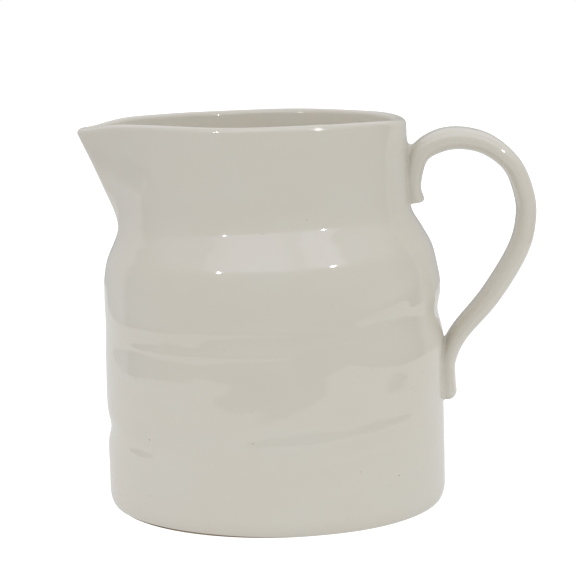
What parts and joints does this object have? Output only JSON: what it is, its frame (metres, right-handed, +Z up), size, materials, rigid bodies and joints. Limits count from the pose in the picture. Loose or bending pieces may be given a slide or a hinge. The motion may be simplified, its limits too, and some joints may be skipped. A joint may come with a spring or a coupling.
{
  "type": "pitcher",
  "caption": "Wide glazed stoneware pitcher with a necked shoulder, a pulled pouring spout, a curved strap handle and a bare clay foot.",
  "frame": {"origin": "centre of the resting face, on the vessel's axis at the foot", "axes": "+Z up along the vessel's axis, +X toward the handle, -X toward the spout, +Y to the side"},
  "size_m": [0.2251, 0.1676, 0.1905],
  "materials": {
    "glaze": "glossy warm white glaze",
    "bare_clay": "matt unglazed stoneware"
  },
  "bodies": {
    "root": {"body": "glaze", "handle": "glaze", "upper_slip_joint": "glaze", "lower_slip_joint": "glaze", "foot_ring": "bare_clay"}
  },
  "joints": []
}
